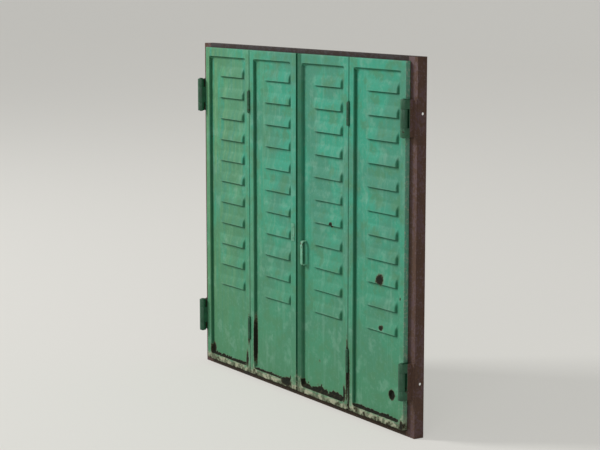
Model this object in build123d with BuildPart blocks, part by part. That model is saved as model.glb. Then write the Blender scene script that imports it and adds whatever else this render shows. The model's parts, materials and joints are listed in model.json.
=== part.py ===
from build123d import *
from math import sqrt
import os

# Folding steel shutters of a small window, in their angle-iron frame.
# Sizes are in millimetres. X runs to the right as seen from outside, Y into the room and Z up.
# The origin is the middle of the sill's underside.

os.makedirs("parts", exist_ok=True)

# Leaves, each pressed from one sheet
leaf_height = 1000.0
inner_leaf_width = 266.0
outer_leaf_width = 268.0
leaf_depth = 15.0
sheet = 1.2
edge_bend = 1.6
return_lip = 20.0
meeting_gap = 8.0
fold_gap = 4.0

# Recessed field of a leaf
side_stile = 22.0
meeting_stile = 30.0
top_margin = 27.0
bottom_margin = 20.0
recess_depth = 9.0
recess_corner = 12.0
recess_draft = 15.0
mouth_bend = 1.6

# Louvre hoods
louvre_count = 11
louvre_pitch = 65.8
louvre_length = 155.0
louvre_height = 30.0
louvre_rise = 7.5
louvre_shift = 15.0
first_louvre_drop = 87.0

# Rusted-through hole in the outer right leaf
rust_hole_radius = 11.0
rust_hole_inset = 67.0
rust_hole_height = 86.0

# Frame of steel angle
frame_section = 3.0
frame_depth = 30.0
jamb_face = 40.0
head_face = 22.0
sill_face = 25.0
root_radius = 1.0
cope_clearance = 0.5
side_lap = 8.0
head_lap = 10.0
sill_lap = 8.0
frame_gap = 0.5
screw_hole_radius = 4.0
screw_hole_depth = 18.0
screw_hole_inset = 150.0

# Wall hinges
hinge_length = 100.0
hinge_barrel = 10.0
hinge_pin = 5.0
hinge_plate = 3.0
hinge_proud = 12.0
hinge_end_knuckle = 25.0
hinge_from_top = 150.0
hinge_from_bottom = 140.0
hinge_edge_margin = 1.0
strap_foot = 1.5
strap_rivet_spacing = 60.0

# Fold hinges
fold_length = 64.0
fold_barrel = 5.0
fold_pin = 2.0
fold_proud = 2.0
fold_end_knuckle = 20.0
fold_from_top = 157.0
fold_from_bottom = 143.0
fold_wing_gap = 1.0
fold_wing_depth = 15.0
notch_clearance = 1.0

# Running fits of both hinges
pin_clearance = 0.05
knuckle_gap = 0.4
barrel_clearance = 0.6
pin_head = 3.0
pin_head_overhang = 2.0
pin_tail = 2.0

# Rivets
rivet_shank = 2.4
rivet_hole_clearance = 0.05
rivet_head_radius = 4.2
rivet_head = 1.4

# Sliding bolts on the room side
bolt_width = 10.0
bolt_thickness = 3.0
bolt_stroke = 15.0
bolt_tip_gap = 1.0
bolt_play = 0.4
bolt_clearance = 0.15
bolt_plate_width = 18.0
bolt_plate_thickness = 1.5
guide_height = 10.0
guide_wall = 1.3
guide_inset = 2.0
guide_end_gap = 2.0
knob_radius = 4.0
knob_length = 5.6
knob_stop_gap = 0.3
bolt_tail = 2.0

# Pull handle of bent strip on the inner right leaf, in the field beside the meeting stile
handle_width = 10.0
handle_strip = 3.0
handle_span = 70.0
handle_reach = 14.5
handle_bend = 6.0
handle_inset = 10.0
handle_height = 420.0
handle_tab = 6.0
handle_tab_clearance = 0.05
handle_peen = 1.5
handle_peen_spread = 1.0

# Small plate on the inner left leaf's meeting stile
stile_plate_width = 18.0
stile_plate_length = 52.0
stile_plate_thickness = 1.5
stile_plate_inset = 15.0
stile_plate_height = 475.0
stile_plate_rivets = 17.0

# Places worked out from the sizes above
fold_outer_edge = meeting_gap / 2 + inner_leaf_width + fold_gap
half_width = fold_outer_edge + outer_leaf_width
jamb_inner = half_width - side_lap
frame_half = jamb_inner + jamb_face
leaf_bottom = sill_face - sill_lap
leaf_top = leaf_bottom + leaf_height
leaf_middle = (leaf_bottom + leaf_top) / 2
head_edge = leaf_top - head_lap
frame_height = head_edge + head_face
frame_front = -frame_depth / 2
frame_back = frame_depth / 2
leg_back = frame_front + frame_section
leaf_back = frame_front - frame_gap
leaf_front = leaf_back - leaf_depth
field_front = leaf_front + recess_depth
field_back = field_front + sheet
field_height = leaf_height - top_margin - bottom_margin
field_middle = leaf_bottom + bottom_margin + field_height / 2
louvre_levels = [leaf_top - first_louvre_drop - i * louvre_pitch for i in range(louvre_count)]

hinge_x = half_width + hinge_barrel
hinge_y = leaf_front - hinge_proud
hinge_levels = {"upper": leaf_top - hinge_from_top, "lower": leaf_bottom + hinge_from_bottom}
fold_x = fold_outer_edge - fold_gap / 2
fold_y = leaf_front - fold_proud
fold_levels = {"upper": leaf_top - fold_from_top, "lower": leaf_bottom + fold_from_bottom}
fold_wing = (fold_gap - fold_wing_gap) / 2

bolt_x = (meeting_gap + return_lip) / 2
bar_front = leg_back + bolt_play - leaf_back
bar_back = bar_front + bolt_thickness
guide_back = bar_back + bolt_clearance + guide_wall
knob_room = 2 * knob_radius + bolt_stroke + 2 * knob_stop_gap
plate_length = 2 * (guide_height + guide_inset) + knob_room
plate_top = -guide_end_gap
upper_guide = plate_top - guide_inset - guide_height
lower_guide = upper_guide - knob_room - guide_height
plate_bottom = plate_top - plate_length
bar_bottom = lower_guide - bolt_stroke - bolt_tail
knob_level = lower_guide + guide_height + knob_stop_gap + knob_radius

sides = {"left": -1, "right": 1}


def facade(depth):
    """A plane across the window at this depth, facing outside."""
    return Plane.XZ.offset(-depth)


def inward(x, depth, z):
    """A plane at this point of the window, facing into the room."""
    return Plane(origin=(x, depth, z), x_dir=(1, 0, 0), z_dir=(0, 1, 0))


def sideways(x, direction):
    """A plane at this distance from the middle, facing left or right, with Y and Z in it."""
    return Plane(origin=(x, 0, 0), x_dir=(0, direction, 0), z_dir=(direction, 0, 0))


def hood_form(length):
    """The body of one louvre hood: upright at its lip, running out into the field above."""
    with BuildPart() as form:
        with BuildSketch(Plane.YZ):
            with BuildLine():
                Line((0, 0), (-louvre_rise, 0))
                TangentArc((-louvre_rise, 0), (0, louvre_height), tangent=(0, 1))
                Line((0, louvre_height), (0, 0))
            make_face()
        extrude(amount=length / 2, both=True)
        with BuildSketch(Plane.XY):
            with BuildLine():
                Polyline(
                    (-length / 2, 0),
                    (louvre_rise - length / 2, -louvre_rise),
                    (length / 2 - louvre_rise, -louvre_rise),
                    (length / 2, 0),
                    close=True,
                )
            make_face()
        extrude(amount=louvre_height, mode=Mode.INTERSECT)
    return form.part


def pressed_leaf(left, right, left_stile, right_stile):
    """One leaf: side flanges, return lips at the back, a recessed field and louvre hoods."""
    width = right - left
    middle = (left + right) / 2
    field_width = width - left_stile - right_stile
    field_x = middle + (left_stile - right_stile) / 2
    hood = hood_form(louvre_length)
    hollow = hood_form(louvre_length - 2 * sheet * (sqrt(2) - 1))
    with BuildPart() as leaf:
        with BuildSketch(facade(leaf_back)):
            with Locations((middle, leaf_middle)):
                Rectangle(width, leaf_height)
        extrude(amount=leaf_depth)
        fillet(leaf.faces().sort_by(Axis.Y)[0].edges(), edge_bend)
        with BuildSketch(facade(leaf_back)):
            with Locations((middle, leaf_middle)):
                Rectangle(width - 2 * return_lip, leaf_height - 2 * return_lip)
        extrude(amount=sheet, mode=Mode.SUBTRACT)
        with BuildSketch(facade(leaf_back - sheet)):
            with Locations((middle, leaf_middle)):
                Rectangle(width - 2 * sheet, leaf_height - 2 * sheet)
        extrude(amount=leaf_depth - 2 * sheet, mode=Mode.SUBTRACT)
        with BuildSketch(inward(field_x, leaf_front, field_middle)):
            RectangleRounded(field_width + 2 * sheet, field_height + 2 * sheet, recess_corner + sheet)
        extrude(amount=recess_depth + sheet, taper=recess_draft)
        with BuildSketch(inward(field_x, leaf_front, field_middle)):
            RectangleRounded(field_width, field_height, recess_corner)
        extrude(amount=recess_depth, taper=recess_draft, mode=Mode.SUBTRACT)
        fillet(leaf.faces().sort_by(Axis.Y)[0].inner_wires()[0].edges(), mouth_bend)
        with Locations(*[(middle + louvre_shift, field_front, z) for z in louvre_levels]):
            add(hood)
        with Locations(*[(middle + louvre_shift, field_back, z) for z in louvre_levels]):
            add(hollow, mode=Mode.SUBTRACT)
    return leaf.part


def cut_fold_notches(side):
    """Round notches that clear the barrels of one pair's fold hinges."""
    for level in fold_levels.values():
        bottom = level - fold_length / 2 - pin_tail - notch_clearance
        top = level + fold_length / 2 + pin_head + notch_clearance
        with BuildSketch(Plane.XY.offset(bottom)) as notch:
            with Locations((side * fold_x, fold_y)):
                Circle(fold_barrel + notch_clearance)
        extrude(notch.sketch, amount=top - bottom, mode=Mode.SUBTRACT)


def cut_rivet_holes(seat, points, depth):
    """Holes behind a seat plane, for rivets at these points of it."""
    with BuildSketch(seat) as holes:
        with Locations(*points):
            Circle(rivet_shank + rivet_hole_clearance)
    extrude(holes.sketch, amount=-depth, mode=Mode.SUBTRACT)


def rivet_row(seat, points, grip):
    """Rivets with their heads on the seat plane, closed flush behind what they grip."""
    for radius, length in ((rivet_head_radius, rivet_head), (rivet_shank, -grip)):
        with BuildSketch(seat) as circles:
            with Locations(*points):
                Circle(radius)
        extrude(circles.sketch, amount=length)


def knuckle_row(pivot, tongue_x, tongue_width, root_y, barrel, bore, spans):
    """Knuckles about a pivot, each with its tongue back to the plate, and the bore through them."""
    for bottom, top in spans:
        with BuildSketch(Plane.XY.offset(bottom)) as section:
            with Locations(pivot):
                Circle(barrel)
            with Locations((tongue_x, (pivot[1] + root_y) / 2)):
                Rectangle(tongue_width, root_y - pivot[1])
            with Locations(pivot):
                Circle(bore, mode=Mode.SUBTRACT)
        extrude(section.sketch, amount=top - bottom)


def upright_plate(x, width, front, back, bottom, length):
    """A plate standing along Z between two depths."""
    with BuildSketch(Plane.XY.offset(bottom)) as section:
        with Locations((x, (front + back) / 2)):
            Rectangle(width, back - front)
    extrude(section.sketch, amount=length)


def headed_pin(pivot, bottom, length, radius):
    """A pin with its head on the top knuckle and its end standing below the bottom one."""
    with BuildPart() as pin:
        with BuildSketch(Plane.XY.offset(bottom - pin_tail)):
            with Locations(pivot):
                Circle(radius)
        extrude(amount=length + pin_tail)
        with BuildSketch(Plane.XY.offset(bottom + length)):
            with Locations(pivot):
                Circle(radius + pin_head_overhang)
        extrude(amount=pin_head)
    return pin.part


def bolt_plane(side, level):
    """The plane at a withdrawn bolt's tip, facing the way it slides, with Y into the room."""
    up = 1 if level == "upper" else -1
    tip = head_edge - bolt_tip_gap if level == "upper" else sill_face + bolt_tip_gap
    return Plane(origin=(side * bolt_x, leaf_back, tip), x_dir=(up, 0, 0), z_dir=(0, 0, up))


def bolt_rivet_points(side, level):
    """Where a bolt's plate is riveted: above, between and below its guides' feet."""
    plane = bolt_plane(side, level)
    middle = plane.from_local_coords(Vector(0, 0, (upper_guide + lower_guide + guide_height) / 2)).Z
    reach = knob_room / 4
    return [(side * bolt_x, middle - reach), (side * bolt_x, middle + reach)]


def save(part, name):
    """Label a finished piece and write it to its file."""
    part.label = name
    export_step(part, f"parts/{name}.step")


# Frame

for name, side in sides.items():
    with BuildPart() as jamb:
        with BuildSketch(Plane.XY) as jamb_section:
            with Locations((side * (jamb_inner + jamb_face / 2), frame_front + frame_section / 2)):
                Rectangle(jamb_face, frame_section)
            with Locations((side * (frame_half - frame_section / 2), 0)):
                Rectangle(frame_section, frame_depth)
            root = (side * (frame_half - frame_section), leg_back)
            fillet(jamb_section.vertices().sort_by_distance(root)[0], root_radius)
        extrude(amount=frame_height)
        with BuildSketch(sideways(side * frame_half, side)):
            for z in (screw_hole_inset, frame_height - screw_hole_inset):
                with Locations((side * (frame_front + screw_hole_depth), z)):
                    Circle(screw_hole_radius)
        extrude(amount=-frame_section, mode=Mode.SUBTRACT)
    save(jamb.part, f"frame_{name}_jamb")

for name, outside, edge in (("head", frame_height, head_edge), ("sill", 0, sill_face)):
    inside = outside + frame_section * (1 if edge > outside else -1)
    with BuildPart() as rail:
        with BuildSketch(Plane.YZ) as rail_section:
            with Locations((frame_front + frame_section / 2, (outside + edge) / 2)):
                Rectangle(frame_section, abs(edge - outside))
            with Locations((0, (outside + inside) / 2)):
                Rectangle(frame_depth, frame_section)
            fillet(rail_section.vertices().sort_by_distance((leg_back, inside))[0], root_radius)
        extrude(amount=jamb_inner, both=True)
        with BuildSketch(Plane.XY.offset(min(outside, inside))):
            with Locations((0, (leg_back + frame_back) / 2)):
                Rectangle(2 * (frame_half - frame_section), frame_back - leg_back)
        extrude(amount=frame_section)
        coped = rail.edges().filter_by(Axis.Z).group_by(Axis.Y)[1].sort_by(Axis.X)
        chamfer([coped[0], coped[-1]], root_radius + cope_clearance)
    save(rail.part, f"frame_{name}")

# Leaves

leaf_plans = {
    "outer_left_leaf": (-half_width, -fold_outer_edge, side_stile, side_stile),
    "inner_left_leaf": (-meeting_gap / 2 - inner_leaf_width, -meeting_gap / 2, side_stile, meeting_stile),
    "inner_right_leaf": (meeting_gap / 2, meeting_gap / 2 + inner_leaf_width, side_stile, side_stile),
    "outer_right_leaf": (fold_outer_edge, half_width, side_stile, side_stile),
}
strap_y = (leaf_front + leaf_back) / 2
strap_levels = [z + i * strap_rivet_spacing / 2 for z in hinge_levels.values() for i in (-1, 1)]
stile_plate_x = -meeting_gap / 2 - stile_plate_inset
stile_plate_z = leaf_bottom + stile_plate_height
stile_plate_points = [(stile_plate_x, stile_plate_z + i * stile_plate_rivets) for i in (-1, 1)]
handle_x = meeting_gap / 2 + side_stile + handle_inset
handle_z = leaf_bottom + handle_height

for name, plan in leaf_plans.items():
    side = -1 if "left" in name else 1
    with BuildPart() as leaf:
        add(pressed_leaf(*plan))
        cut_fold_notches(side)
        if "outer" in name:
            flange = sideways(side * half_width, side)
            cut_rivet_holes(flange, [(side * strap_y, z) for z in strap_levels], sheet)
        else:
            for level in ("upper", "lower"):
                lip_seat = inward(0, leaf_back, 0)
                points = [(x, -z) for x, z in bolt_rivet_points(side, level)]
                cut_rivet_holes(lip_seat, points, sheet)
        if name == "inner_left_leaf":
            cut_rivet_holes(facade(leaf_front), stile_plate_points, sheet)
        if name == "inner_right_leaf":
            with BuildSketch(facade(field_back)):
                for end in (-1, 1):
                    with Locations((handle_x, handle_z + end * handle_span / 2)):
                        Rectangle(handle_tab + 2 * handle_tab_clearance, handle_strip + 2 * handle_tab_clearance)
            extrude(amount=sheet, mode=Mode.SUBTRACT)
        if name == "outer_right_leaf":
            with BuildSketch(facade(field_back)):
                with Locations((half_width - rust_hole_inset, leaf_bottom + rust_hole_height)):
                    Circle(rust_hole_radius)
            extrude(amount=sheet, mode=Mode.SUBTRACT)
    save(leaf.part, name)

# Wall hinges

for name, side in sides.items():
    pivot = (side * hinge_x, hinge_y)
    web_x = side * (hinge_x + hinge_barrel - hinge_plate / 2)
    strap_x = side * (half_width + hinge_plate / 2)
    wing_inner = hinge_x + hinge_barrel - hinge_plate
    wing_outer = frame_half - hinge_edge_margin
    plate_root = hinge_y + hinge_barrel + barrel_clearance
    for level, hinge_z in hinge_levels.items():
        bottom = hinge_z - hinge_length / 2
        top = bottom + hinge_length
        leaf_span = (bottom + hinge_end_knuckle + knuckle_gap, top - hinge_end_knuckle - knuckle_gap)
        jamb_spans = ((bottom, bottom + hinge_end_knuckle), (top - hinge_end_knuckle, top))
        with BuildPart() as jamb_half:
            upright_plate(
                side * (wing_inner + wing_outer) / 2,
                wing_outer - wing_inner,
                frame_front - hinge_plate,
                frame_front,
                bottom,
                hinge_length,
            )
            upright_plate(web_x, hinge_plate, plate_root, frame_front, bottom, hinge_length)
            bore = hinge_pin + pin_clearance
            knuckle_row(pivot, web_x, hinge_plate, plate_root, hinge_barrel, bore, jamb_spans)
        save(jamb_half.part, f"{name}_{level}_jamb_hinge")

        with BuildPart() as strap:
            strap_back = leaf_back - strap_foot
            upright_plate(strap_x, hinge_plate, plate_root, strap_back, bottom, hinge_length)
            knuckle_row(pivot, strap_x, hinge_plate, plate_root, hinge_barrel, bore, (leaf_span,))
            points = [(side * strap_y, hinge_z + i * strap_rivet_spacing / 2) for i in (-1, 1)]
            cut_rivet_holes(sideways(side * (half_width + hinge_plate), side), points, hinge_plate)
        save(strap.part, f"{name}_{level}_leaf_hinge")
        save(headed_pin(pivot, bottom, hinge_length, hinge_pin), f"{name}_{level}_hinge_pin")

    with BuildPart() as strap_rivets:
        seat = sideways(side * (half_width + hinge_plate), side)
        rivet_row(seat, [(side * strap_y, z) for z in strap_levels], hinge_plate + sheet)
    save(strap_rivets.part, f"outer_{name}_hinge_rivets")

# Fold hinges

for name, side in sides.items():
    pivot = (side * fold_x, fold_y)
    wing_root = fold_y + fold_barrel + barrel_clearance
    wing_end = fold_y + fold_wing_depth
    outer_x = side * (fold_outer_edge - fold_wing / 2)
    inner_x = side * (fold_outer_edge - fold_gap + fold_wing / 2)
    bore = fold_pin + pin_clearance
    for level, fold_z in fold_levels.items():
        bottom = fold_z - fold_length / 2
        top = bottom + fold_length
        inner_spans = ((bottom + fold_end_knuckle + knuckle_gap, top - fold_end_knuckle - knuckle_gap),)
        outer_spans = ((bottom, bottom + fold_end_knuckle), (top - fold_end_knuckle, top))
        for half, wing_x, spans in (("outer", outer_x, outer_spans), ("inner", inner_x, inner_spans)):
            with BuildPart() as fold_half:
                upright_plate(wing_x, fold_wing, wing_root, wing_end, bottom, fold_length)
                knuckle_row(pivot, wing_x, fold_wing, wing_root, fold_barrel, bore, spans)
            save(fold_half.part, f"{name}_{level}_fold_hinge_{half}")
        save(headed_pin(pivot, bottom, fold_length, fold_pin), f"{name}_{level}_fold_pin")

# Sliding bolts

for name, side in sides.items():
    for level in ("upper", "lower"):
        tip_plane = bolt_plane(side, level)
        with BuildPart() as bolt_plate:
            with BuildSketch(tip_plane.offset(plate_bottom)):
                with Locations((0, bolt_plate_thickness / 2)):
                    Rectangle(bolt_plate_width, bolt_plate_thickness)
            extrude(amount=plate_length)
            for guide in (upper_guide, lower_guide):
                with BuildSketch(tip_plane.offset(guide)):
                    with Locations((0, (bolt_plate_thickness + guide_back) / 2)):
                        Rectangle(bolt_width + 2 * guide_wall, guide_back - bolt_plate_thickness)
                    with Locations((0, (bar_front + bar_back) / 2)):
                        Rectangle(
                            bolt_width + 2 * bolt_clearance,
                            bolt_thickness + 2 * bolt_clearance,
                            mode=Mode.SUBTRACT,
                        )
                extrude(amount=guide_height)
            seat = inward(0, leaf_back + bolt_plate_thickness, 0)
            points = [(x, -z) for x, z in bolt_rivet_points(side, level)]
            cut_rivet_holes(seat, points, bolt_plate_thickness)
        save(bolt_plate.part, f"{name}_{level}_bolt_plate")

        with BuildPart() as bolt_bar:
            with BuildSketch(tip_plane.offset(bar_bottom)):
                with Locations((0, (bar_front + bar_back) / 2)):
                    Rectangle(bolt_width, bolt_thickness)
            extrude(amount=-bar_bottom)
            knob_z = tip_plane.from_local_coords(Vector(0, 0, knob_level)).Z
            with BuildSketch(inward(side * bolt_x, leaf_back + bar_back, knob_z)):
                Circle(knob_radius)
            extrude(amount=knob_length)
        save(bolt_bar.part, f"{name}_{level}_bolt_bar")

    with BuildPart() as bolt_rivets:
        seat = inward(0, leaf_back + bolt_plate_thickness, 0)
        points = [(x, -z) for level in ("upper", "lower") for x, z in bolt_rivet_points(side, level)]
        rivet_row(seat, points, bolt_plate_thickness + sheet)
    save(bolt_rivets.part, f"inner_{name}_bolt_rivets")

# Pull handle

with BuildPart() as pull_handle:
    bar_y = field_front - handle_reach
    with BuildLine():
        FilletPolyline(
            (handle_x, field_front, handle_z - handle_span / 2),
            (handle_x, bar_y, handle_z - handle_span / 2),
            (handle_x, bar_y, handle_z + handle_span / 2),
            (handle_x, field_front, handle_z + handle_span / 2),
            radius=handle_bend,
        )
    with BuildSketch(facade(field_front)):
        with Locations((handle_x, handle_z - handle_span / 2)):
            Rectangle(handle_width, handle_strip)
    sweep()
    for back, length, spread in ((field_back, sheet, 0), (field_back + handle_peen, handle_peen, handle_peen_spread)):
        with BuildSketch(facade(back)):
            for end in (-1, 1):
                with Locations((handle_x, handle_z + end * handle_span / 2)):
                    Rectangle(handle_tab + 2 * spread, handle_strip + 2 * spread)
        extrude(amount=length)
save(pull_handle.part, "pull_handle")

# Small plate at mid-height

with BuildPart() as stile_plate:
    with BuildSketch(facade(leaf_front)):
        with Locations((stile_plate_x, stile_plate_z)):
            Rectangle(stile_plate_width, stile_plate_length)
    extrude(amount=stile_plate_thickness)
    cut_rivet_holes(facade(leaf_front - stile_plate_thickness), stile_plate_points, stile_plate_thickness)
save(stile_plate.part, "stile_plate")

with BuildPart() as stile_plate_rivets_part:
    rivet_row(facade(leaf_front - stile_plate_thickness), stile_plate_points, stile_plate_thickness + sheet)
save(stile_plate_rivets_part.part, "stile_plate_rivets")
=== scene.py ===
import json
import logging
import math
import random
from dataclasses import dataclass
from enum import Enum
from functools import partial
from typing import Callable, Iterable, Iterator, Sequence

import bmesh
import bpy
import numpy as np
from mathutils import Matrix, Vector


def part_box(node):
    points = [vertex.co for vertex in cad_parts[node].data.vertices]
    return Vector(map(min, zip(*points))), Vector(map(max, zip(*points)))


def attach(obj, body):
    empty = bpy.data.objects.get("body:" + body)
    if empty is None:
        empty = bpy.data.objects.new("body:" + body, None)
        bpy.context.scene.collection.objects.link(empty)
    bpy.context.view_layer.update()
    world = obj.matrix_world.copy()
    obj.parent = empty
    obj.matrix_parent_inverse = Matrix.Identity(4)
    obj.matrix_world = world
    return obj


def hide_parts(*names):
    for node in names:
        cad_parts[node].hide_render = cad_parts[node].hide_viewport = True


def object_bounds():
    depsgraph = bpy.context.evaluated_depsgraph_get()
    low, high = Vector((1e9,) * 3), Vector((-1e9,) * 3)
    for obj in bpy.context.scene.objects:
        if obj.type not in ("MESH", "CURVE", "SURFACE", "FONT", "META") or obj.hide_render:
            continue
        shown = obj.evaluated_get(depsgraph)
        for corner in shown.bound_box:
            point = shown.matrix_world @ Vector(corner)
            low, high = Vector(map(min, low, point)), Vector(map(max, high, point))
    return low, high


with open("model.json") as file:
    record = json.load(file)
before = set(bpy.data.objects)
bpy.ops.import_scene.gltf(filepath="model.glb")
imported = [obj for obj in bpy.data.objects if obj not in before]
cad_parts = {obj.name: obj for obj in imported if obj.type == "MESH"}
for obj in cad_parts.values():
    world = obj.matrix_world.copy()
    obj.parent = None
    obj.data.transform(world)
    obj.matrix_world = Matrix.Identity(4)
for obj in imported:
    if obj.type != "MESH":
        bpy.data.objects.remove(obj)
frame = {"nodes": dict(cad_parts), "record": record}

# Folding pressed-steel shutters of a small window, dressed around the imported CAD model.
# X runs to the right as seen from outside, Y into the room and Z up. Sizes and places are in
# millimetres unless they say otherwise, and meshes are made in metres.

CAD_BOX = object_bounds()
MM = 0.001
PHOTO_WIDTH = 600
TINY = 1e-6
# Distance that stands for a louvre which isn't there.
FAR = 1e3

Socket = bpy.types.NodeSocket
AddNode = Callable[..., bpy.types.Node]
Faces = list[tuple[int, ...]]

log = logging.getLogger("shutters")


# Small tools


def linear(hex_colour: str) -> tuple[float, float, float, float]:
    """Turn an sRGB hex colour to linear.

    Args:
        hex_colour: A colour such as "#5C987C".

    Returns:
        Red, green, blue and alpha, each from 0 to 1.
    """
    parts = [int(hex_colour[i : i + 2], 16) / 255 for i in (1, 3, 5)]
    red, green, blue = (p / 12.92 if p <= 0.04045 else ((p + 0.055) / 1.055) ** 2.4 for p in parts)
    return red, green, blue, 1.0


def per_metre(size: float) -> float:
    """Texture scale that gives features of this size in millimetres."""
    return 1 / (size * MM)


def add_node(
    tree: bpy.types.NodeTree, kind: str, inputs: dict | None = None, **settings: object
) -> bpy.types.Node:
    """Add a node, with its settings and what goes into its sockets.

    Args:
        tree: The material's node tree.
        kind: Blender's name of the node type.
        inputs: Socket name or number to an output socket, which is linked, or to a value.
        settings: Attributes of the node.

    Returns:
        The new node.
    """
    node = tree.nodes.new(kind)
    for name, value in settings.items():
        setattr(node, name, value)
    for key, value in (inputs or {}).items():
        if isinstance(value, Socket):
            tree.links.new(value, node.inputs[key])
        else:
            node.inputs[key].default_value = value
    return node


def blank_material(name: str) -> tuple[bpy.types.Material, AddNode]:
    """Add a material without nodes.

    Args:
        name: What the finish is called.

    Returns:
        The material, and add_node for its tree.
    """
    material = bpy.data.materials.new(name)
    material.use_nodes = True
    material.node_tree.nodes.clear()
    return material, partial(add_node, material.node_tree)


def spread(start: float, stop: float, step: float) -> list[float]:
    """Even lines from start to stop, at most a step apart."""
    count = max(1, math.ceil(abs(stop - start) / step))
    return [start + (stop - start) * i / count for i in range(count + 1)]


def merge_lines(groups: Iterable[Sequence[float]], gap: float) -> list[float]:
    """Merge groups of grid lines, of which the first ones are kept exactly.

    Args:
        groups: Lines in order of importance.
        gap: A later line is dropped if it lies nearer than this to a kept one.

    Returns:
        The kept lines in order.
    """
    kept: list[float] = []
    for group in groups:
        for line in group:
            if all(abs(line - other) >= gap for other in kept):
                kept.append(line)
    return sorted(kept)


def smooth_min(a: np.ndarray, b: np.ndarray, radius: float) -> np.ndarray:
    """The smaller of two heights, rounded where they cross."""
    blend = np.clip(0.5 + 0.5 * (b - a) / radius, 0, 1)
    return b * (1 - blend) + a * blend - radius * blend * (1 - blend)


def ease(t: np.ndarray) -> np.ndarray:
    """Zero to one with a level start and end."""
    t = np.clip(t, 0, 1)
    return t * t * (3 - 2 * t)


def fade_out(distance: np.ndarray, reach: float | np.ndarray) -> np.ndarray:
    """One at a line, with a sharp peak, and about a third a reach away from it."""
    return np.exp(-np.abs(distance) / reach)


def hump(distance: np.ndarray, reach: float) -> np.ndarray:
    """One at a line, with a round top, and about a third a reach away from it."""
    return np.exp(-((distance / reach) ** 2))


def tube_faces(first: int, rings: int, sides: int) -> Faces:
    """Join rings of points to a closed tube.

    Args:
        first: Number of the first ring's first point. The other rings follow it.
        rings: How many rings there are.
        sides: How many points each ring has.

    Returns:
        The faces between the rings and one over each end.
    """
    last = first + (rings - 1) * sides
    faces = [tuple(reversed(range(first, first + sides))), tuple(range(last, last + sides))]
    for ring in range(first, last, sides):
        for k in range(sides):
            here, beside = ring + k, ring + (k + 1) % sides
            faces.append((here, beside, beside + sides, here + sides))
    return faces


class Ripple:
    """A smooth random wave over X and Z, the same on each run."""

    def __init__(self, seed: int, size: float, waves: int = 14) -> None:
        """Choose the waves.

        Args:
            seed: Names the pattern.
            size: Typical distance between crests.
            waves: How many plane waves are summed.
        """
        rng = random.Random(seed)
        self.terms = []
        for _ in range(waves):
            heading = rng.uniform(0, math.tau)
            rate = math.tau / (size * rng.uniform(0.6, 1.8))
            phase = rng.uniform(0, math.tau)
            self.terms.append((math.cos(heading) * rate, math.sin(heading) * rate, phase))

    def at(self, x: np.ndarray, z: np.ndarray) -> np.ndarray:
        """Height at these points, mostly between -1 and 1."""
        total = sum(np.cos(along_x * x + along_z * z + phase) for along_x, along_z, phase in self.terms)
        return total * math.sqrt(2 / len(self.terms)) / 1.6


def new_piece(name: str, mesh: bpy.types.Mesh, body: str, material: bpy.types.Material) -> bpy.types.Object:
    """Make a piece of the window from a mesh.

    Args:
        name: What the piece is called.
        mesh: Its form, at its place in the shared frame.
        body: The CAD body that it rides on.
        material: Its finish.

    Returns:
        The new object.
    """
    piece = bpy.data.objects.new(name, mesh)
    bpy.context.scene.collection.objects.link(piece)
    mesh.materials.append(material)
    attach(piece, body)
    return piece


def apply_modifiers(piece: bpy.types.Object) -> None:
    """Make a piece's modifiers part of its mesh.

    Args:
        piece: The object, which keeps no modifiers.
    """
    bpy.context.view_layer.update()
    graph = bpy.context.evaluated_depsgraph_get()
    shaped = piece.evaluated_get(graph)
    baked = bpy.data.meshes.new_from_object(shaped, preserve_all_data_layers=True, depsgraph=graph)
    piece.modifiers.clear()
    piece.data = baked


# Finishes


class WearAndShade(Enum):
    """Vertex attributes that tell a finish where the sheet or steel has suffered, and where shade is
    painted on a leaf.
    """

    EDGE = "edge_wear"
    DIRT = "dirt"
    RUST = "rust"
    # The last attribute is painted shade: a dark green laid where shade falls on a leaf.
    SOOT = "soot"


class Fade(Enum):
    """How a coat of colour thins out towards its edge."""

    SMOOTH = "SMOOTHSTEP"
    EVEN = "LINEAR"


@dataclass(frozen=True)
class Coat:
    """A colour over the ones before it. It starts where a pattern is at low and has its share at high."""

    colour: str | Socket
    pattern: Socket
    low: float = 0.0
    high: float = 1.0
    share: float | Socket = 1.0
    fade: Fade = Fade.SMOOTH


def lay_coats(node: AddNode, ground: str, coats: Iterable[Coat]) -> Socket:
    """Lay coats of colour over each other.

    Args:
        node: Adds a node to the material.
        ground: The lowest colour.
        coats: What lies over it, from the lowest up.

    Returns:
        The colour that shows.
    """
    colour = linear(ground)
    for coat in coats:
        span = {"Value": coat.pattern, "From Min": coat.low, "From Max": coat.high, "To Max": coat.share}
        cover = node("ShaderNodeMapRange", span, interpolation_type=coat.fade.value).outputs["Result"]
        over = linear(coat.colour) if isinstance(coat.colour, str) else coat.colour
        colour = node("ShaderNodeMix", {0: cover, 6: colour, 7: over}, data_type="RGBA").outputs[2]
    return colour


def fray(node: AddNode, amount: Socket, noise: Socket, depth: float) -> Socket:
    """Make the edge of a worn place ragged.

    Args:
        node: Adds a node to the material.
        amount: How worn each place is.
        noise: A pattern with a mean of one half.
        depth: How far the pattern shifts the edge.

    Returns:
        The amount with the pattern added to it.
    """
    centred = node("ShaderNodeMath", {0: noise, 1: 0.5}, operation="SUBTRACT").outputs[0]
    return node("ShaderNodeMath", {0: centred, 1: depth, 2: amount}, operation="MULTIPLY_ADD").outputs[0]


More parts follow.
